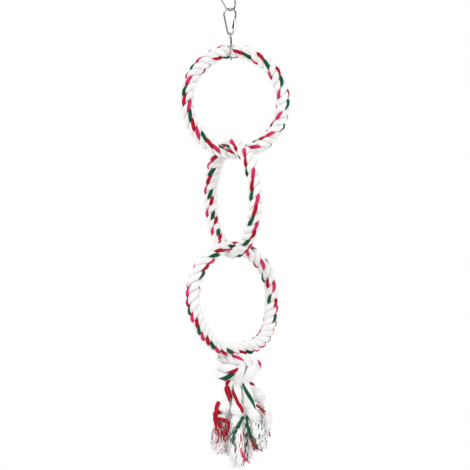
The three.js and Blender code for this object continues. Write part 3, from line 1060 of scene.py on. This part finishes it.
# The turn round a tail's knot: rounds, radius, how far below the knot's middle, tilt, girth, steps;
# the part of a half wave that its radius follows, how far its tilt lags, and its dyed yarns' side
WRAP_ROUNDS = 1.15
WRAP_RADIUS = 5.6
WRAP_BELOW = 5.6
WRAP_TILT = 2.6
WRAP_GIRTH = 0.8
WRAP_STEPS = 12
WRAP_START = 0.14
WRAP_SHARE = 0.72
WRAP_LAG = 2.0
WRAP_TURNS = (0.1, 0.4)

# Points along a lobe, the turn round it, a stub and a bundle; the first seed of the strands, how far
# the turn's seed is past its lobe's, and the first seeds of the dyed bundles and of the stubs
LOBE_POINTS = 110
WRAP_POINTS = 70
STUB_POINTS = 20
BUNDLE_POINTS = 16
STRAND_SEEDS = 20
WRAP_SEEDS = 10
DYED_SEEDS = 100
STUB_SEEDS = 120


def tail_strand(name, tail, seed):
    """From inside the tassel knot down into the strand's own knot: a lobe, and one turn round it."""
    neck, knot = neck_of(tail), Vector(tail["knot"])
    down = (knot - neck).normalized()
    side = down.cross(Vector((0, 1, 0))).normalized()
    front = down.cross(side)
    run = (knot - neck).length - RUN_ABOVE_KNOT
    places = [(*(neck + down * below), girth) for below, girth in NECK_GIRTHS]
    places += [(*(neck + down * (run * share)), girth) for share, girth in RUN_GIRTHS]
    places += [(*(knot + down * below), girth) for below, girth in KNOT_GIRTHS]
    lobe = strand_pass(
        name + "_lobe", places, dye=tail["dye"], dyed=tail["dyed"], turns=tail["turns"], seed=seed,
        count=LOBE_POINTS,
    )
    places = []
    for i in range(WRAP_STEPS + 1):
        t = i / WRAP_STEPS
        a = tail["winding"] + FULL * WRAP_ROUNDS * t
        radius = WRAP_RADIUS * sqrt(sin(pi * (WRAP_START + WRAP_SHARE * t)))
        tilt = WRAP_TILT * cos(a - tail["winding"] - WRAP_LAG)
        centre = knot + (side * cos(a) + front * sin(a)) * radius
        places.append((*(centre + down * (WRAP_BELOW + tilt)), WRAP_GIRTH))
    wrap = strand_pass(
        name + "_wrap", places, dye=tail["dye"], dyed=tail["wrap"], turns=WRAP_TURNS,
        seed=seed + WRAP_SEEDS, count=WRAP_POINTS,
    )
    return joined(name + "_tail_strand", [lobe, wrap])


def loose_bundle(name, places, widths, seed, **values):
    """Loose yarns along a path that opens out by (width, depth) in millimetres."""
    count = BUNDLE_POINTS
    points, _ = path_with_girth([(*place, 1.0) for place in places], count)
    wide, deep = [], []
    for i in range(count):
        at = i / (count - 1) * (len(widths) - 1)
        low = min(int(at), len(widths) - 2)
        width = Vector(widths[low]).lerp(Vector(widths[low + 1]), at - low)
        wide.append(width.x / 1000)
        deep.append(width.y / 1000)
    line = centreline(name + "_line", points, carried_sides(points), width=wide, depth=deep)
    return made_by(name, line, FRAYED_END, seed=seed, material=loose_cotton, **values)


# Thick dyed yarns that lie over the frayed ends: tail, dye, yarns, their radius, the path, and how
# far the yarns spread to each side and in depth along it; all in millimetres
DYED_BUNDLES = [
    (
        "left", RED, 16, 0.85,
        [
            (-26, -15, -43), (-29, -16, -52), (-31, -17, -62),
            (-28, -20, -72), (-23, -21, -86), (-25, -19, -104),
        ],
        [(1.2, 1), (1.8, 1.2), (2.8, 1.5), (6, 3), (6, 3), (7, 4)],
    ),
    (
        "left", RED, 12, 0.75,
        [
            (-30, -18, -66), (-22, -21, -67), (-15, -21, -70),
            (-14, -20, -78), (-18, -20, -87), (-22, -19, -98),
        ],
        [(2, 1.5), (3, 2), (4, 2.5), (5, 2.5), (5, 3), (6, 3)],
    ),
    (
        "right", GREEN, 7, 0.85,
        [(12, -15, -63), (12.5, -19, -74), (16, -21, -88), (23, -20, -103), (34, -18, -115)],
        [(1.5, 1), (1.5, 1), (1.8, 1.2), (2.5, 1.5), (3, 2)],
    ),
    (
        "front", GREEN, 5, 0.8,
        [(8, -19, -64), (1, -22, -74), (-6, -23, -84), (-9, -22, -96), (-5, -21, -112)],
        [(1, 1), (1.5, 1), (2, 1.5), (3.5, 2), (5, 2)],
    ),
    (
        "front", PINK, 4, 0.75,
        [(-1, -22, -98), (3, -23, -112), (8, -22, -121), (13, -20, -131)],
        [(2, 1), (3, 1), (3, 2), (4, 2)],
    ),
    (
        "far_right", RED, 4, 0.7,
        [(25, 6, -51), (30, 4.5, -55), (35, 4.5, -60), (39, 6, -66)],
        [(1, 1), (1.5, 1), (1.5, 1), (2, 1)],
    ),
    (
        "right", RED, 8, 0.6,
        [(15, -18, -90), (20, -20, -102), (26, -18, -112)],
        [(3, 1), (4, 2), (5, 3)],
    ),
]
DYED_YARN_LOOK = dict(wander=0.0025, crimp=0.0009, crimp_waves=4.0, shortest=0.55)

# The loose yarns of a frayed end: first seed, share of its opening that they fill, and how much of
# the tail's dyed share they take; then what the tree is told of them
LOOSE_YARNS = {
    "core": (40, 0.72, 0.0, dict(
        threads=11, thread_radius=0.0027, thread_sides=7, crimp=0.0006, crimp_waves=2.0, shortest=0.8,
    )),
    "coarse": (60, 1.0, 1.0, dict(
        threads=64, thread_radius=0.0011, crimp=0.0010, crimp_waves=4.0, shortest=0.6,
    )),
    "fine": (80, 1.0, 1.3, dict(
        threads=70, thread_radius=0.0006, crimp=0.0008, crimp_waves=4.5, shortest=0.7,
    )),
}

# A frayed end starts below the middle of its strand's knot, drops straight and then leans to its
# end, and opens to these shares of its half width and half depth
OPENINGS = (0.42, 0.62, 0.82, 0.92, 0.98, 0.9)
FRINGE_BELOW_KNOT = 9
FRINGE_DROP = 7
FRINGE_LEAN = (0.16, 0.62)

# The end of a tail's strand inside the tassel knot: how far above the neck it starts and which share
# of the neck's place it leans inwards; where it bends, its heights at the neck, girths and twist
STUB_RISE = 12
STUB_LEAN = (0.2, 0.35)
STUB_BEND = 0.45
STUB_ABOVE_NECK = 1.2
STUB_BELOW_NECK = 2.6
STUB_GIRTHS = (1.1, 1.25, 1.25, 1.16)
STUB_TWIST = 0.2

for number, (name, tail) in enumerate(TAILS.items()):
    body = name + "_tail"
    strand = tail_strand(name, tail, STRAND_SEEDS + number)
    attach(strand, body)
    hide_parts(name + "_strand", name + "_strand_knot")

    neck, knot, end = neck_of(tail), Vector(tail["knot"]), Vector(tail["end"])
    down = (knot - neck).normalized()
    start = knot + down * FRINGE_BELOW_KNOT
    bend = start + down * FRINGE_DROP + (end - start) * FRINGE_LEAN[0]
    places = [start, bend, start.lerp(end, FRINGE_LEAN[1]), end]
    wide, deep = tail["fringe"]
    bundles = []
    for kind, (first_seed, filled, dyed, look) in LOOSE_YARNS.items():
        bundles.append(
            loose_bundle(
                "%s_%s" % (name, kind), places,
                [(wide * opening * filled, deep * opening * filled) for opening in OPENINGS],
                first_seed + number, dye=float(tail["dye"]), dyed_share=tail["share"] * dyed, **look,
            )
        )
    for step, (of_tail, dye, threads, radius, path, widths) in enumerate(DYED_BUNDLES):
        if of_tail == name:
            bundles.append(
                loose_bundle(
                    "%s_dyed_%d" % (name, step), path, widths, DYED_SEEDS + step, threads=threads,
                    thread_radius=radius / 1000, dye=float(dye), dyed_share=1.0, **DYED_YARN_LOOK,
                )
            )
    fringe = joined(name + "_frayed_end", bundles)
    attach(fringe, body)
    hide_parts(name + "_fringe")

    inside = neck + Vector((-neck.x * STUB_LEAN[0], -neck.y * STUB_LEAN[1], STUB_RISE))
    places = [inside, neck.lerp(inside, STUB_BEND)]
    places += [neck + UP * STUB_ABOVE_NECK, neck + down * STUB_BELOW_NECK]
    knot_pieces.append(
        strand_pass(
            name + "_stub", [(*place, girth) for place, girth in zip(places, STUB_GIRTHS)],
            dye=tail["dye"], dyed=tail["dyed"], turns=(tail["turns"][0] - STUB_TWIST, tail["turns"][0]),
            seed=STUB_SEEDS + number, count=STUB_POINTS,
        )
    )

tassel = joined("tassel_knot_rope", knot_pieces)
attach(tassel, "bottom_ring")
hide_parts("tassel_knot")


# Quick links: a pear of wire with a threaded opening, and the sleeve that closes it

WIRE_RADIUS = 0.0012
WIRE_SIDES = 20
BEND_STEPS = 40
THREAD_PITCH = 0.0007
STEPS_PER_PITCH = 4
THREAD_DEPTH = 0.00016
END_BEVEL = 0.0004
END_BEVEL_DEPTH = 0.00022
THREAD_UNDER_SLEEVE = 0.007
THREAD_BEYOND_OPENING = 0.002
LEAST_PLAIN_SIDE = 0.0015
SLEEVE_LENGTH = 0.012
SLEEVE_OVERLAP = 0.0016
SLEEVE_SIDES = 48
HALF_ACROSS_FLATS = 0.0024
HALF_FLAT = radians(30)
CORNER_FROM_FLAT = radians(26)
GAP = 0.0003
WIRE_CREASE = 50
SLEEVE_CREASE = 22

# The sleeve's outside and bore, as (distance from its end, radius) up to its turned end
SLEEVE_OUTSIDE = ((0.0, 0.00225), (0.0003, 0.00255), (0.0006, 0.0030))
SLEEVE_BORE = ((0.0003, WIRE_RADIUS + 0.0001), (0.0, WIRE_RADIUS + 0.0004))

# Each link's bend radii and their spacing, to the middle of the wire; how far its sleeve is from
# the upper bend; where the middle of its wide bend is, and its yaw and lean in degrees
LINKS = {
    "hanging_link": dict(
        wide=0.017, narrow=0.0105, spacing=0.024, nut_from_top=0.006,
        place=(0, 0, -0.0158), yaw=43, lean=22, upside_down=False,
    ),
    "middle_link": dict(
        wide=0.0081, narrow=0.0036, spacing=0.0247, nut_from_top=0.007,
        place=(0.006575, 0.00613, -0.05395), yaw=0, lean=0, upside_down=False,
    ),
    "ring_link": dict(
        wide=0.0081, narrow=0.0036, spacing=0.0247, nut_from_top=0.005,
        place=(0.006575, 0.00613, -0.10785), yaw=82, lean=0, upside_down=True,
    ),
}


def tube_mesh(name, rings, closed):
    """A skin over rings of points that follow one another, closed on itself or capped."""
    mesh = bpy.data.meshes.new(name)
    size, count = len(rings[0]), len(rings)
    points = [point for ring in rings for point in ring]
    faces = []
    for i in range(count if closed else count - 1):
        for j in range(size):
            a, b = i * size, (i + 1) % count * size
            k = (j + 1) % size
            faces.append((a + j, a + k, b + k, b + j))
    if not closed:
        faces.append(tuple(reversed(range(size))))
        faces.append(tuple(range((count - 1) * size, count * size)))
    mesh.from_pydata(points, [], faces)
    return mesh


def solid_piece(name, mesh, place, material, sharp_angle):
    mesh.transform(place)
    made = bmesh.new()
    made.from_mesh(mesh)
    bmesh.ops.recalc_face_normals(made, faces=made.faces)
    for face in made.faces:
        face.smooth = True
    for edge in made.edges:
        if edge.is_manifold and edge.calc_face_angle() > radians(sharp_angle):
            edge.smooth = False
    made.to_mesh(mesh)
    made.free()
    mesh.materials.append(material)
    return added(name, mesh)


def quick_link(name, wide, narrow, spacing, nut_from_top, place, yaw, lean, upside_down):
    """The wire and the sleeve, in the link's plane, X across and Z up from the wide bend."""
    taper = asin((wide - narrow) / spacing)
    side_length = spacing * cos(taper)
    nut_start = side_length - nut_from_top - SLEEVE_LENGTH if upside_down else nut_from_top
    low_end = nut_start if upside_down else nut_start + SLEEVE_LENGTH
    inwards = 1 if upside_down else -1
    travel = nut_from_top - GAP
    ends = sorted((low_end + inwards * SLEEVE_OVERLAP, low_end + inwards * (travel - GAP)))
    before, after = THREAD_UNDER_SLEEVE, THREAD_BEYOND_OPENING
    if upside_down:
        before, after = after, before
    outwards = Vector((cos(taper), 0, -sin(taper)))
    stations = []

    def side_point(distance):
        x = wide * cos(taper) - distance * sin(taper)
        return Vector((x, 0, -wide * sin(taper) - distance * cos(taper)))

    def threaded(start, stop, opening):
        """Side stations with a screw thread, bevelled at the opening's end."""
        steps = max(2, int(abs(stop - start) / (THREAD_PITCH / STEPS_PER_PITCH)))
        for i in range(steps + 1):
            distance = start + (stop - start) * i / steps
            cut = THREAD_DEPTH * (0.5 - 0.5 * cos(FULL * distance / THREAD_PITCH))
            cut += END_BEVEL_DEPTH * max(1 - abs(distance - opening) / END_BEVEL, 0)
            stations.append((side_point(distance), outwards, WIRE_RADIUS - cut))

    def bend(radius, height, start, stop):
        for i in range(BEND_STEPS + 1):
            a = start + (stop - start) * i / BEND_STEPS
            way = Vector((cos(a), 0, sin(a)))
            stations.append((way * radius + UP * height, way, WIRE_RADIUS))

    threaded(ends[0], max(LEAST_PLAIN_SIDE, ends[0] - before), ends[0])
    bend(wide, 0, -taper, pi + taper)
    bend(narrow, -spacing, pi + taper, FULL - taper)
    threaded(min(side_length - LEAST_PLAIN_SIDE, ends[1] + after), ends[1], ends[1])

    across = Vector((0, 1, 0))
    angles = [FULL * j / WIRE_SIDES for j in range(WIRE_SIDES)]
    rings = [
        [point + (way * cos(a) + across * sin(a)) * radius for a in angles]
        for point, way, radius in stations
    ]
    turned = Matrix.Translation(place) @ Matrix.Rotation(radians(yaw), 4, "Z")
    turned = turned @ Matrix.Rotation(radians(-lean), 4, "Y")
    turned = turned @ Matrix.Rotation(pi if upside_down else 0, 4, "Y")
    wire = solid_piece(name + "_wire", tube_mesh(name, rings, False), turned, wire_nickel, WIRE_CREASE)
    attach(wire, name)
    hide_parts(name)

    # The sleeve: six flats with turned ends and a bore for the thread
    profile = [*SLEEVE_OUTSIDE, (SLEEVE_LENGTH / 2, SLEEVE_OUTSIDE[-1][1])]
    for half in (SLEEVE_OUTSIDE, SLEEVE_BORE):
        profile += [(SLEEVE_LENGTH - z, radius) for z, radius in reversed(half)]
    profile += SLEEVE_BORE
    outline = []
    for z, turned_radius in profile:
        ring = []
        for j in range(SLEEVE_SIDES):
            a = FULL * j / SLEEVE_SIDES
            from_flat = min(abs(a % (2 * HALF_FLAT) - HALF_FLAT), CORNER_FROM_FLAT)
            radius = min(HALF_ACROSS_FLATS / cos(from_flat), turned_radius)
            a += HALF_FLAT
            ring.append(Vector((radius * cos(a), radius * sin(a), z)))
        outline.append(ring)
    on_side = Matrix.Translation(side_point(nut_start)) @ Matrix.Rotation(pi + taper, 4, "Y")
    mesh = tube_mesh(name + "_nut", outline, True)
    nut = solid_piece(name + "_sleeve", mesh, turned @ on_side, sleeve_nickel, SLEEVE_CREASE)
    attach(nut, name + "_nut")
    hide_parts(name + "_nut")


for link, sizes in LINKS.items():
    quick_link(link, **sizes)


# Room and light

FLOOR_HEIGHT = -1.25
FLOOR_FRONT = -6.0
BEND_START = 3.0
BEND_RADIUS = 1.5
ROOM_BEND_STEPS = 12
WALL_TOP = 6.0
ROOM_HALF_WIDTH = 8.0
ROOM_GREY = 0.82


def room():
    """A pale sweep that stands well behind the perch and runs out into the floor below it. The
    camera sees it white."""
    outline = [(FLOOR_FRONT, FLOOR_HEIGHT), (BEND_START, FLOOR_HEIGHT)]
    for i in range(1, ROOM_BEND_STEPS + 1):
        a = pi / 2 * i / ROOM_BEND_STEPS
        rise = FLOOR_HEIGHT + BEND_RADIUS * (1 - cos(a))
        outline.append((BEND_START + BEND_RADIUS * sin(a), rise))
    outline.append((BEND_START + BEND_RADIUS, WALL_TOP))
    mesh = bpy.data.meshes.new("room")
    points = [(x, y, z) for y, z in outline for x in (-ROOM_HALF_WIDTH, ROOM_HALF_WIDTH)]
    faces = [(2 * i, 2 * i + 1, 2 * i + 3, 2 * i + 2) for i in range(len(outline) - 1)]
    mesh.from_pydata(points, [], faces)
    for face in mesh.polygons:
        face.use_smooth = True
    material, tree, shader = new_material("pale_room")
    feed_named(tree, shader, base_color=(ROOM_GREY, ROOM_GREY, ROOM_GREY, 1), roughness=0.9)
    white = add(tree, "ShaderNodeEmission", (1, 1, 1, 1), 1.0)
    seen = tree.nodes.new("ShaderNodeLightPath").outputs["Is Camera Ray"]
    mix = add(tree, "ShaderNodeMixShader", seen, shader.outputs[0], white.outputs[0])
    feed_named(tree, tree.nodes["Material Output"], surface=mix.outputs[0])
    mesh.materials.append(material)
    sweep = added("room", mesh)


def soft_lamp(name, place, target, size, power):
    lamp = bpy.data.lights.new(name, "AREA")
    lamp.shape = "DISK"
    lamp.size = size
    lamp.energy = power
    holder = added(name, lamp)
    holder.location = place
    holder.rotation_euler = (Vector(target) - Vector(place)).to_track_quat("-Z", "Y").to_euler()


# How bright the world is below and above, and between which heights of a direction that changes;
# the dark screens' inner edge, end and darkness
WORLD_LIGHT = (0.68, 1.0)
WORLD_HEIGHTS = (-0.6, 0.9)
SCREEN_EDGE = 0.10
SCREEN_END = 0.72
SCREEN_DARKNESS = 0.90


def world_light():
    world = bpy.data.worlds.new("studio")
    bpy.context.scene.world = world
    world.use_nodes = True
    tree = world.node_tree
    direction = add(tree, "ShaderNodeTexCoord").outputs["Generated"]
    parts = add(tree, "ShaderNodeSeparateXYZ", direction)
    right, back = (value_of(tree, parts.outputs[i]) for i in range(2))
    shade = add(tree, "ShaderNodeMapRange", parts.outputs[2], *WORLD_HEIGHTS, *WORLD_LIGHT)
    shade = value_of(tree, shade)

    # Two dark screens beside the lens, which only polished metal shows
    screen = right.of("ABSOLUTE").of("GREATER_THAN", SCREEN_EDGE) * back.of("LESS_THAN", SCREEN_END)
    path = tree.nodes.new("ShaderNodeLightPath")
    screen = screen * path.outputs["Is Glossy Ray"]
    shade = shade * (1.0 - screen * SCREEN_DARKNESS)
    seen = shade.of("MAXIMUM", path.outputs["Is Camera Ray"])
    feed_named(tree, tree.nodes["Background"], color=grey(tree, seen), strength=1.0)


room()
world_light()
soft_lamp("key", place=(-1.3, -1.8, 1.2), target=(0, 0, -0.33), size=1.2, power=25)
soft_lamp("fill", place=(1.9, -1.2, 0.2), target=(0, 0, -0.35), size=1.4, power=9)
soft_lamp("low_fill", place=(0.3, -1.7, -0.9), target=(0, 0, -0.60), size=0.8, power=3.5)
